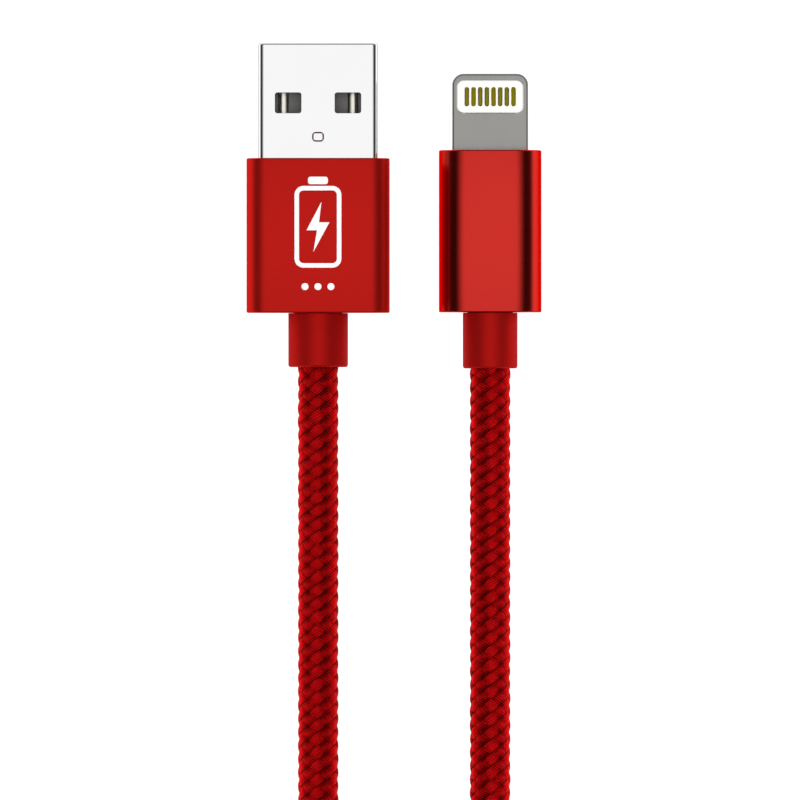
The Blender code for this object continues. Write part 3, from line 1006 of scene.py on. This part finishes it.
@dataclass
class Cord:
    """The cord: its inner jacket, its braid and the strap round its hank, in millimetres."""

    radius: float = 1.74
    sides: int = 24
    hank_parts: int = 5
    tucked: float = 1.5
    strap_half: float = 4.5
    strap_thick: float = 0.95
    braid: Braid = Braid()
    pieces: list[bpy.types.Object] = field(default_factory=list)

    def __post_init__(self) -> None:
        """Work out the line."""
        self.line = cord_line()

    def jacket(self) -> bpy.types.Object:
        """The tube under the braid, all the way.

        Returns:
            The object.
        """
        run = np.linspace(0, self.line.far[-1], round(self.line.far[-1]) + 1)
        turn = 2 * math.pi * np.arange(self.sides) / self.sides
        runs, turns = np.meshgrid(run, turn, indexing="ij")
        at = self.line.at(runs, turns, np.full(runs.shape, self.radius))
        return Piece("cord_jacket", [[tuple(p * MM) for p in ring] for ring in at]).solid()

    def breaks(self) -> list[float]:
        """The distances where the braid's pieces meet.

        Returns:
            The distances, with both ends.
        """
        inside = np.flatnonzero(self.line.points[:, 1] < HankPlan.near_y)
        first, last = (float(self.line.far[i]) for i in (inside[0], inside[-1]))
        end = float(self.line.far[-1])
        return [self.tucked, *np.linspace(first, last, self.hank_parts + 1), end - self.tucked]

    def build(self, yarn: bpy.types.Material, jacket: bpy.types.Material) -> bpy.types.Object:
        """Build the jacket and the braid's pieces.

        Args:
            yarn: the braid's material.
            jacket: the jacket's material.

        Returns:
            The jacket.
        """
        tube = dress(self.jacket(), jacket)
        marks = self.breaks()
        shown = {0: "usb", self.hank_parts + 1: "phone"}
        for i, ends in enumerate(zip(marks, marks[1:])):
            if i in shown:
                word = shown[i]
                made = self.braid.build(f"braid_{word}_stretch", self.line, ends, 0.113, True)
                dress(made, yarn, [f"cord_{word}_stretch"])
            else:
                made = self.braid.build(f"braid_hank_{i}", self.line, ends, 0.3, False)
                dress(made, yarn, ["cord_hank"] if i == 1 else [])
            self.pieces.append(made)
        return tube

    def strap(self) -> bpy.types.Object:
        """The hook-and-loop strap, drawn round the bundle at its waist.

        Returns:
            The object.
        """
        plan, tie = HankPlan(), NodeBox("hank_tie")
        middle = np.array([plan.middle_x, 0.0, 5.6])
        near = self.line.points[np.abs(self.line.points[:, 1] - plan.middle_y) < 6.5]
        turns = 2 * math.pi * np.arange(120) / 120
        away = np.stack([np.cos(turns), np.sin(turns)], -1)

        def outline(y: float, gap: float) -> list[Point]:
            """The strap's line round the cords at y, with a gap to them.

            Args:
                y: the place, in millimetres.
                gap: the gap, in millimetres.

            Returns:
                Points in metres.
            """
            cords = near[np.abs(near[:, 1] - y) < 0.6]
            places = cords[:, [0, 2]] - middle[[0, 2]]
            support = (places @ away.T).max(0) + CORD_DIAMETER / 2 + gap
            angles = turns[:, None] - turns[None, :]
            facing = np.cos(angles)
            far = support[None, :] / np.maximum(facing, 0.05)
            reach = np.where(facing > 0.05, far, 99).min(1)
            floor = tie.low.z / MM + (0.0 if gap > 0.5 else 1.0)
            return [
                (float(middle[0] + r * c) * MM, y * MM, max(float(middle[2] + r * s), floor) * MM)
                for r, (c, s) in zip(reach, away)
            ]

        ys = [plan.middle_y + v for v in np.linspace(-self.strap_half, self.strap_half, 13)]
        outer = [outline(y, self.strap_thick) for y in ys]
        inner = [outline(y, 0.03) for y in reversed(ys)]
        made = Piece("hank_strap", [*outer, *inner], sharp=50).solid(closed=True)
        bevelled(made, 0.0003, 2, 60)
        return made


# --------------------------------------------------------------------------- the plugs


def outward_rings(
    box: NodeBox, width: float, height: float, edge: float, profile: Sequence[Span], steps: int = 14
) -> list[list[Point]]:
    """Rings along a plug, each smaller than the full section by its inset.

    Args:
        box: the node that the piece stands for.
        width: of the full section.
        height: of the full section.
        edge: the full section's corner radius.
        profile: (inset, y) for each ring.
        steps: stretches in each corner.

    Returns:
        The rings.
    """
    least = 0.00002
    rings = []
    for inset, y in profile:
        corner = max(edge - inset, least)
        rings.append(box.ring(rounded(width - 2 * inset, height - 2 * inset, corner, steps), y))
    return rings


def quarter_round(radius: float, steps: int) -> list[Span]:
    """(inset, distance from the end) for each step of a rounded end, from the end inwards.

    Args:
        radius: of the rounding.
        steps: how many stretches it has.

    Returns:
        The pairs.
    """
    return [
        (radius * (1 - math.sin(a)), radius * (1 - math.cos(a)))
        for a in (math.pi / 2 * i / steps for i in range(steps + 1))
    ]


def prism(name: str, outline: Outline, z: Span) -> bpy.types.Object:
    """A cutter from an outline laid flat, between two heights."""
    return Piece(name, [[(x, y, h) for x, y in outline] for h in z]).solid()


def block(name: str, xs: Span, ys: Span, zs: Span) -> bpy.types.Object:
    """A cutter in the form of a box between limits."""
    ring = [(xs[0], zs[0]), (xs[1], zs[0]), (xs[1], zs[1]), (xs[0], zs[1])]
    return Piece(name, [[(x, y, z) for x, z in ring] for y in ys]).solid()


@dataclass
class Sleeve:
    """A drawn aluminium housing with crisp, lightly rounded rims, hollow like its CAD node.

    Sizes are in metres: edge is the section's corner radius, pocket and mouth are the width,
    height and corner radius of the hollow and of the front opening, lip is the front wall's
    thickness, and bore is the radius of the hole in the rear wall.
    """

    node: str
    edge: float
    pocket: Point
    lip: float
    mouth: Point
    bore: float
    wall: float = 0.001

    def __post_init__(self) -> None:
        """Read the node's box."""
        self.box = NodeBox(self.node)

    def build(self, name: str) -> bpy.types.Object:
        """The housing.

        Args:
            name: the piece's name.

        Returns:
            The object.
        """
        box, rim = self.box, quarter_round(0.00013, 4)
        rear, front = box.low.y, box.high.y
        profile = [(inset, rear + far) for inset, far in rim]
        profile += [(inset, front - far) for inset, far in reversed(rim)]
        rings = outward_rings(box, box.size.x, box.size.z, self.edge, profile)
        made = Piece(name, rings).solid()
        over = 0.0005
        cuts = (
            ("hollow", rounded(*self.pocket, 10), rear + self.wall, front - self.lip),
            ("opening", rounded(*self.mouth, 10), front - self.lip - over, front + 2 * over),
            ("rear_hole", circle(self.bore, 64), rear - 2 * over, rear + self.wall + over),
        )
        carve(made, [
            Piece(word, [box.ring(line, y) for y in (start, end)]).solid()
            for word, line, start, end in cuts
        ])
        return made


@dataclass
class Collar:
    """The moulded strain-relief ring behind a housing.

    spigot and fillet are the radii, in metres, of its spigot and of its rear edge.
    """

    node: str
    spigot: float
    fillet: float
    bore: float = 0.00203
    sides: int = 128

    def __post_init__(self) -> None:
        """Read the node's box."""
        self.box = NodeBox(self.node)

    def build(self, name: str, housing_rear: float) -> bpy.types.Object:
        """The ring, with its spigot in the housing's rear wall.

        Args:
            name: the piece's name.
            housing_rear: where the housing's rear face is, in y.

        Returns:
            The object.
        """
        box, bore, bevel = self.box, self.bore, 0.00012
        radius = box.size.x / 2
        rear, front, spigot_end = box.low.y, housing_rear - 0.00004, box.high.y
        path = [(bore + bevel, rear)]
        path += [(radius - inset, rear + far) for inset, far in quarter_round(self.fillet, 8)]
        front_edge = reversed(quarter_round(0.00003, 3))
        path += [(radius - inset, front - far) for inset, far in front_edge]
        path += [(self.spigot, front), (self.spigot, spigot_end), (bore, spigot_end)]
        path.append((bore, rear + bevel))
        return Piece(name, [box.ring(circle(r, self.sides), y) for r, y in path]).solid(closed=True)


@dataclass
class ChargePrint:
    """A white printed sign on the larger housing: a battery with a bolt in it, and three dots."""

    box: NodeBox
    height: float = 0.000015
    points: list[Point] = field(default_factory=list)
    faces: list[tuple[int, ...]] = field(default_factory=list)

    def add(self, outer: Outline, inner: Outline | None = None) -> None:
        """Add a flat shape, which has a hole if there is an inner outline of as many points.

        Args:
            outer: the outline.
            inner: the hole's outline, if it has one.
        """
        top = self.box.high.z
        for z in (top - self.height, top + self.height):
            self.points += [(self.box.middle.x + u, v, z) for u, v in outer]
            self.points += [(self.box.middle.x + u, v, z) for u, v in inner or ()]
        count = len(outer)
        size = count * (2 if inner else 1)
        first = len(self.points) - 2 * size
        for i in range(count):
            j = (i + 1) % count
            self.faces.append((first + i, first + j, first + size + j, first + size + i))
            if inner:
                hole, over, over_hole = first + count, first + size, first + size + count
                self.faces.append((hole + j, hole + i, over_hole + i, over_hole + j))
                self.faces.append((over + i, over + j, over_hole + j, over_hole + i))
                self.faces.append((first + j, first + i, hole + i, hole + j))
        if not inner:
            self.faces += [tuple(range(at, at + count)) for at in (first, first + size)]

    @staticmethod
    def moved(outline: Outline, y: float, x: float = 0.0) -> Outline:
        """An outline in millimetres, moved and in metres."""
        return [((u + x) * MM, (v + y) * MM) for u, v in outline]

    def build(self) -> bpy.types.Object:
        """The print.

        Returns:
            The object.
        """
        outer, inner = rounded(4.7, 8.2, 0.9, 8), rounded(3.8, 7.3, 0.45, 8)
        self.add(self.moved(outer, -2.2), self.moved(inner, -2.2))
        self.add(self.moved(rounded(2.0, 0.75, 0.25, 5), 2.45))
        bolt = [
            (0.35, 2.5), (-1.15, -0.35), (-0.1, -0.35), (-0.45, -2.5), (1.15, 0.45), (0.1, 0.45)
        ]
        self.add(self.moved(bolt, -2.2))
        for x in (-1.3, 0.0, 1.3):
            self.add(self.moved(rounded(0.7, 0.7, 0.345, 8), -8.2, x))
        return Piece("charge_symbol_print").mesh(self.points, self.faces)


@dataclass
class FourContactPlug:
    """The flat four-contact plug, in metres.

    window and stamp are the width, length and corner radius of each window and of the mark.
    """

    sheet: float = 0.0003
    bend: float = 0.0006
    window: Point = (0.00265, 0.00208, 0.00025)
    window_x: float = 0.003
    window_y: float = 0.01026
    stamp: Point = (0.00104, 0.00084, 0.00028)
    stamp_y: float = 0.00685
    stamp_depth: float = 0.00005

    def shell(self) -> bpy.types.Object:
        """The folded steel sleeve with its windows, its stamped mark and the seam underneath.

        Returns:
            The object.
        """
        box = NodeBox("usb_shell")
        rear, front = box.low.y, box.high.y
        tip = quarter_round(0.0002, 6)
        profile = [(0.0, rear)] + [(inset, front - far) for inset, far in reversed(tip)]
        sheet, over = self.sheet, 0.001
        profile += [(sheet - 0.00004, front), (sheet, front - 0.00005), (sheet, rear)]
        rings = outward_rings(box, box.size.x, box.size.z, self.bend, profile, 12)
        made = Piece("usb_folded_shell", rings).solid(closed=True)
        window = rounded(*self.window, 8)
        cutters = [
            prism(
                f"window_{side}",
                [(side * self.window_x + u, self.window_y + v) for u, v in window],
                (box.low.z - over, box.high.z + over),
            )
            for side in (-1, 1)
        ]
        seam = block(
            "seam",
            (-0.00003, 0.00003),
            (rear - over, front + over),
            (box.low.z - 0.0001, box.low.z + 0.00012),
        )
        carve(made, [*cutters, self.mark(box.high.z), seam], 25.0)
        bevelled(made, 0.00005, 2, 75)
        return made

    def mark(self, top: float) -> bpy.types.Object:
        """The cutter of the small stamped groove behind the windows, which is a shallow V.

        Args:
            top: the height of the shell's top face.

        Returns:
            The cutter.
        """
        slope, over = 1.5, 0.00003
        wide = slope * (self.stamp_depth + over)
        width, length, corner = self.stamp
        rings = []
        for out, z in ((wide, top + over), (-wide, top + over), (0.0, top - self.stamp_depth)):
            line = rounded(width + 2 * out, length + 2 * out, corner + out, 8)
            rings.append([(u, self.stamp_y + v, z) for u, v in line])
        return Piece("stamp", rings).solid(closed=True)

    def contact(self, node: str, name: str) -> bpy.types.Object:
        """A spring contact with a crowned face and a rounded nose.

        Args:
            node: the CAD node.
            name: the piece's name.

        Returns:
            The object.
        """
        box = NodeBox(node)
        width, high, low = box.size.x, box.high.z, box.low.z
        deep = high - low
        bends = np.linspace(-1.4, 1.4, 15)
        section = [(width * 0.5 * math.sin(a), deep * 0.75 * (math.cos(a) - 1)) for a in bends]
        section += [(width * 0.49, -deep), (-width * 0.49, -deep)]
        tip = box.high.y
        ends = [(box.low.y, 1.0), (tip - 0.0004, 1.0), (tip - 0.00015, 0.8), (tip, 0.4)]
        rings = [
            [(box.middle.x + u * share, y, high + v) for u, v in reversed(section)]
            for y, share in ends
        ]
        return Piece(name, rings).solid()

    def build(self, make: Finishes) -> None:
        """Build and dress the self.

        Args:
            make: the materials by name.
        """
        dress(self.shell(), make["nickel plate"], ["usb_shell"])
        for word in WIRE_COLOURS:
            made = self.contact(f"usb_contact_{word}", f"usb_spring_{word}")
            dress(made, make["contact gold"], [f"usb_contact_{word}"])
        pocket, mouth = (0.01278, 0.0052, 0.0012), (0.0121, 0.0046, 0.0005)
        sleeve = Sleeve("usb_housing", 0.00195, pocket, 0.0012, mouth, 0.0025)
        red = make["usb housing anodised red"]
        dress(sleeve.build("usb_sleeve"), red, ["usb_housing"])
        ring = Collar("usb_collar", 0.00245, 0.00025).build("usb_strain_ring", sleeve.box.low.y)
        dress(ring, make["collar moulded red"], ["usb_collar"])
        dress(ChargePrint(sleeve.box).build(), make["white ink"])
        repaint(make["dark tongue plastic"], "usb_contact_carrier")
        repaint(make["clear mould"], "usb_inner_mould")
        repaint(make["ferrule brass"], "usb_crimp_ferrule")


@dataclass
class PhonePlug:
    """The phone plug, in metres.

    half and corner are the tab's half width and corner radius, window is the width, length
    and corner radius of the window in it, and pad is a pad's width and length.
    """

    half: float = 0.00383
    corner: float = 0.00115
    edge: float = 0.00022
    flange_y: float = 0.0046
    window: Point = (0.00667, 0.00335, 0.0007)
    from_tip: float = 0.00065
    pad: Span = (0.00042, 0.0019)
    board_half: float = 0.0025
    gap: float = 0.00005
    over: float = 0.001

    def __post_init__(self) -> None:
        """Read the tab's box."""
        self.box = NodeBox("phone_plug_frame")
        self.panel_y = self.box.high.y - self.from_tip - self.window[1] / 2

    def tab_outline(self, inset: float, steps: int = 12) -> Outline:
        """The tab and its flange from above, in x from the plug's middle and y.

        Args:
            inset: how much smaller it is all round.
            steps: stretches in each corner.

        Returns:
            The points.
        """
        half, corner = self.half - inset, self.corner - inset
        tip, flange = self.box.high.y - inset, self.box.size.x / 2
        right: Outline = [(flange, self.box.low.y), (flange, self.flange_y)]
        right.append((half, self.flange_y + 0.0001))
        right += [
            (half - corner + corner * math.cos(a), tip - corner + corner * math.sin(a))
            for a in (math.pi / 2 * i / steps for i in range(steps + 1))
        ]
        return right + [(-x, y) for x, y in reversed(right)]

    def board_cutter(self, name: str, ys: Span) -> bpy.types.Object:
        """The cutter of the room for the board's neck, between two places in y.

        Args:
            name: the cutter's name.
            ys: where it starts and ends, in y.

        Returns:
            The cutter.
        """
        board, middle = NodeBox("phone_circuit_board"), self.box.middle.x
        half = self.board_half + self.gap
        zs = (board.low.z - self.gap, board.high.z + self.gap)
        return block(name, (middle - half, middle + half), ys, zs)

    def frame(self) -> bpy.types.Object:
        """The steel frame with rounded edges and the panel's window.

        Returns:
            The object.
        """
        box, edge = self.box, self.edge
        half, middle = box.size.z / 2, box.middle
        turns = np.linspace(0, math.pi / 2, 7)
        rim = [(edge * (1 - math.sin(a)), half - edge + edge * math.cos(a)) for a in turns]
        levels = [(inset, -z) for inset, z in rim] + [(inset, z) for inset, z in reversed(rim)]
        rings = [
            [(middle.x + u, v, middle.z + z) for u, v in self.tab_outline(inset)]
            for inset, z in levels
        ]
        made = Piece("phone_tab", rings).solid()
        line = [(middle.x + u, self.panel_y + v) for u, v in rounded(*self.window, 10)]
        window = prism("window", line, (box.low.z - self.over, box.high.z + self.over))
        slot = self.board_cutter("slot", (box.low.y - self.over, self.panel_y))
        carve(made, [window, slot], 28)
        return made

    def panel(self) -> bpy.types.Object:
        """The white carrier, with softly rounded edges and pockets for the pads.

        Returns:
            The object.
        """
        middle, carrier = self.box.middle, NodeBox("phone_contact_carrier")
        half, edge = carrier.size.z / 2, 0.00006
        width, length, corner = (v - 0.0001 for v in self.window)
        rings = []
        for inset, z in ((edge, -half), (0.0, -half + edge), (0.0, half - edge), (edge, half)):
            line = rounded(width - 2 * inset, length - 2 * inset, corner - inset, 10)
            rings.append([(middle.x + u, self.panel_y + v, middle.z + z) for u, v in line])
        made = Piece("phone_contact_panel", rings).solid()
        board_end = NodeBox("phone_circuit_board").high.y
        cutters = [self.board_cutter("notch", (board_end - self.over, board_end + self.gap))]
        pocket = rounded(*(v + 0.00006 for v in self.pad), 0.00023, 6)
        for side in Side:
            face = middle.z + side.value * half
            depths = sorted((face - side.value * 0.00016, face + side.value * 0.0005))
            for x in self.pad_places():
                line = [(x + u, self.panel_y + v) for u, v in pocket]
                cutters.append(prism("pocket", line, tuple(depths)))
        carve(made, cutters)
        return made

    def pad_places(self) -> list[float]:
        """The pads' middles in x, as the CAD nodes have them."""
        return [NodeBox(f"phone_contact_front_{i + 1}").middle.x for i in range(PAD_COUNT)]

    def pads(self) -> bpy.types.Object:
        """All sixteen pads, as one piece of separate slugs with domed edges.

        Returns:
            The object.
        """
        points, faces = [], []
        levels = ((0.0, -0.00012), (0.0, -0.00003), (0.00002, -0.00001), (0.00006, 0.0))
        for side in Side:
            pad = NodeBox(f"phone_contact_{side.name.lower()}_1")
            face = pad.high.z if side is Side.FRONT else pad.low.z
            for x in self.pad_places():
                first = len(points)
                for inset, depth in levels:
                    width, length = (v - 2 * inset for v in self.pad)
                    line = rounded(width, length, 0.0002 - inset, 6)
                    z = face + side.value * depth
                    points += [(x + u, self.panel_y + v, z) for u, v in line]
                count = (len(points) - first) // len(levels)
                for low in range(first, len(points) - count, count):
                    for i in range(count):
                        j = (i + 1) % count
                        faces.append((low + i, low + j, low + count + j, low + count + i))
                faces += [tuple(range(at, at + count)) for at in (first, len(points) - count)]
        return Piece("phone_pads", sharp=50).mesh(points, faces)

    def build(self, make: Finishes) -> list[bpy.types.Object]:
        """Build and dress the self.

        Args:
            make: the materials by name.

        Returns:
            The pieces that it builds, and the phone plug's inner CAD nodes.
        """
        pads = [f"phone_contact_{s.name.lower()}_{i + 1}" for s in Side for i in range(PAD_COUNT)]
        pocket, mouth = (0.0091, 0.00454, 0.0021), (0.00776, 0.0016, 0.00025)
        sleeve = Sleeve("phone_housing", 0.00275, pocket, 0.0008, mouth, 0.00235)
        white, red = make["white contact plastic"], make["phone housing anodised red"]
        collar, rear = make["collar moulded red"], sleeve.box.low.y
        ring = Collar("phone_collar", 0.0023, 0.00025)
        made = [
            dress(self.frame(), make["blasted steel"], ["phone_plug_frame"]),
            dress(self.panel(), white, ["phone_contact_carrier"]),
            dress(self.pads(), make["pad gold"], pads),
            dress(sleeve.build("phone_sleeve"), red, ["phone_housing"]),
            dress(ring.build("phone_strain_ring", rear), collar, ["phone_collar"]),
        ]
        repaint(make["clear mould"], "phone_inner_mould")
        repaint(make["ferrule brass"], "phone_crimp_ferrule")
        repaint(make["board green"], "phone_circuit_board")
        repaint(make["chip black"], "phone_control_chip")
        for plug_word in ("usb", "phone"):
            for wire, colour in WIRE_COLOURS.items():
                repaint(make[f"wire {colour}"], f"{plug_word}_wire_{wire}")
        inner = ["inner_mould", "crimp_ferrule", "circuit_board", "control_chip"]
        inner += [f"wire_{word}" for word in WIRE_COLOURS]
        return made + [bpy.data.objects[f"phone_{word}"] for word in inner]


# --------------------------------------------------------------------------- the studio


@dataclass
class Studio:
    """A white table that gives off light, a round softbox overhead and a bright horizon.

    softbox is the half angle in degrees and the radiance of each of its discs. lens, sensor,
    aim and span, which is the width of the picture, are in millimetres.
    """

    table_z: float = -0.00008
    ring: float = 6.5
    softbox: tuple[Span, ...] = ((16, 0.3), (24, 0.3), (32, 0.27), (40, 0.2))
    high: float = 5.0
    lens: float = 600.0
    sensor: float = 36.0
    aim: Point = (8.23, -19.575, 3.0)
    span: float = 80.48

    def camera(self) -> None:
        """The camera straight above, on a long lens."""
        lens = bpy.data.cameras.new("camera")
        lens.lens, lens.sensor_width = self.lens, self.sensor
        lens.clip_start, lens.clip_end = 0.01, 50
        made = bpy.data.objects.new("camera", lens)
        x, y, z = self.aim
        made.location = (x * MM, y * MM, (z + self.span * self.lens / self.sensor) * MM)
        bpy.context.scene.collection.objects.link(made)
        bpy.context.scene.camera = made

    def table(self) -> None:
        """The table."""
        half = 12.0
        corners = [(-half, -half), (half, -half), (half, half), (-half, half)]
        made = Piece("table").mesh([(x, y, self.table_z) for x, y in corners], [(0, 1, 2, 3)])
        bench = Bench("white table")
        bench.base((0.25, 0.25, 0.25), 0.9)
        bench.shader.inputs["Specular IOR Level"].default_value = 0.0
        bench.shader.inputs["Emission Color"].default_value = (1, 1, 1, 1)
        bench.shader.inputs["Emission Strength"].default_value = 1.0
        made.data.materials.append(bench.material)

    def lamp(
        self, name: str, kind: str, place: Point, power: float, size: float, gloss: bool
    ) -> None:
        """One light that points down.

        Args:
            name: its name.
            kind: AREA or SUN.
            place: where it is, in metres.
            power: its power, or its strength for a sun.
            size: its diameter in metres, or its angle for a sun.
            gloss: whether polished surfaces mirror it.
        """
        data = bpy.data.lights.new(name, kind)
        data.energy = power
        if kind == "AREA":
            data.shape, data.size = "DISK", size
        else:
            data.angle = size
        made = bpy.data.objects.new(name, data)
        made.location = place
        made.visible_glossy = gloss
        bpy.context.scene.collection.objects.link(made)

    def lights(self) -> None:
        """The softbox with a soft rim, and the fill that only mat surfaces take."""
        high = self.high
        for i, (angle, radiance) in enumerate(self.softbox):
            size = 2 * high * math.tan(math.radians(angle))
            power = radiance * math.pi * math.pi * size * size / 4
            self.lamp(f"softbox_{i}", "AREA", (0.1, 0.0, high + 0.01 * i), power, size, True)
        self.lamp("fill", "SUN", (0, 0, 2), 2.5, math.radians(50), False)

    def surroundings(self) -> None:
        """A room that is dark above, with a bright horizon and a soft panel in each corner."""
        sky = SkyBench("studio")
        x, y, z = sky.direction()
        horizon = ((z * self.ring).math("POWER", 4.0) + 1.0).math("POWER", -1.0)
        corners = (x * y * 2).math("ABSOLUTE").math("POWER", 4.0) * 0.6
        level = (0.03 + horizon * 0.95 + corners).clamp()
        sky.feed(sky.shader.inputs["Color"], sky.mix(level, (0, 0, 0), (1, 1, 1)))
        bpy.context.scene.world = sky.world

    def build(self) -> None:
        """All of it."""
        self.camera()
        self.table()
        self.lights()
        self.surroundings()
        bpy.context.scene.view_settings.view_transform = "Standard"


# --------------------------------------------------------------------------- putting it together


class ChargingCable:
    """The whole cable."""

    def __init__(self) -> None:
        """Make the finishes."""
        self.make = {
            finish.name: finish.make()
            for finish in (
                Anodised(
                    "usb housing anodised red", (0.60, 0.015, 0.011), 0.40, (0.5, 0.1, 0.1), 0.88
                ),
                Anodised("phone housing anodised red", (0.60, 0.030, 0.023), 0.2),
                Moulded(
                    "collar moulded red",
                    (0.50, 0.010, 0.008),
                    0.48,
                    0.72,
                    gloss=0.2,
                    edge=(0.5, 0.02, 0.02),
                ),
                Plated("nickel plate", (0.86, 0.86, 0.86), 0.07, edge=0.05),
                Plated("blasted steel", (0.38, 0.375, 0.36), 0.3, 0.000004, 0.9),
                Plated("contact gold", (0.88, 0.84, 0.74), 0.22),
                Plated("pad gold", (0.25, 0.21, 0.008), 0.3),
                Plated("ferrule brass", (0.62, 0.46, 0.18), 0.35),
                Moulded("white contact plastic", (0.93, 0.92, 0.88), 0.35),
                Moulded("dark tongue plastic", (0.07, 0.068, 0.066), 0.35),
                Moulded("clear mould", (0.72, 0.70, 0.62), 0.45),
                Moulded("board green", (0.02, 0.16, 0.07), 0.4, coat=0.5),
                Moulded("chip black", (0.02, 0.02, 0.02), 0.5),
                Moulded("white ink", (0.92, 0.92, 0.92), 0.4),
                Moulded("cord jacket red", (0.07, 0.001, 0.002), 0.6, gloss=0.1),
                *(Moulded(f"wire {word}", colour, 0.45) for word, colour in WIRES.items()),
                FilamentYarn("red filament yarn", (1.0, 0.008, 0.010), (0.03, 0.0, 0.0005), 0.3),
                StrapWeave("grey strap", (0.10, 0.10, 0.105), (0.025, 0.025, 0.027)),
            )
        }

    def build(self) -> None:
        """All the pieces, the cord first."""
        cord = Cord()
        jacket = cord.build(self.make["red filament yarn"], self.make["cord jacket red"])
        strap = dress(cord.strap(), self.make["grey strap"], ["hank_tie"])
        FourContactPlug().build(self.make)
        phone = PhonePlug().build(self.make)
        cord.line.points[::2] * MM
        LOG.info("cord length %.1f mm", cord.line.far[-1])


def main() -> None:
    """Build the studio and the cable."""
    logging.basicConfig(level=logging.INFO, format="%(name)s: %(message)s")
    Studio().build()
    ChargingCable().build()


if __name__ == "__main__":
    main()
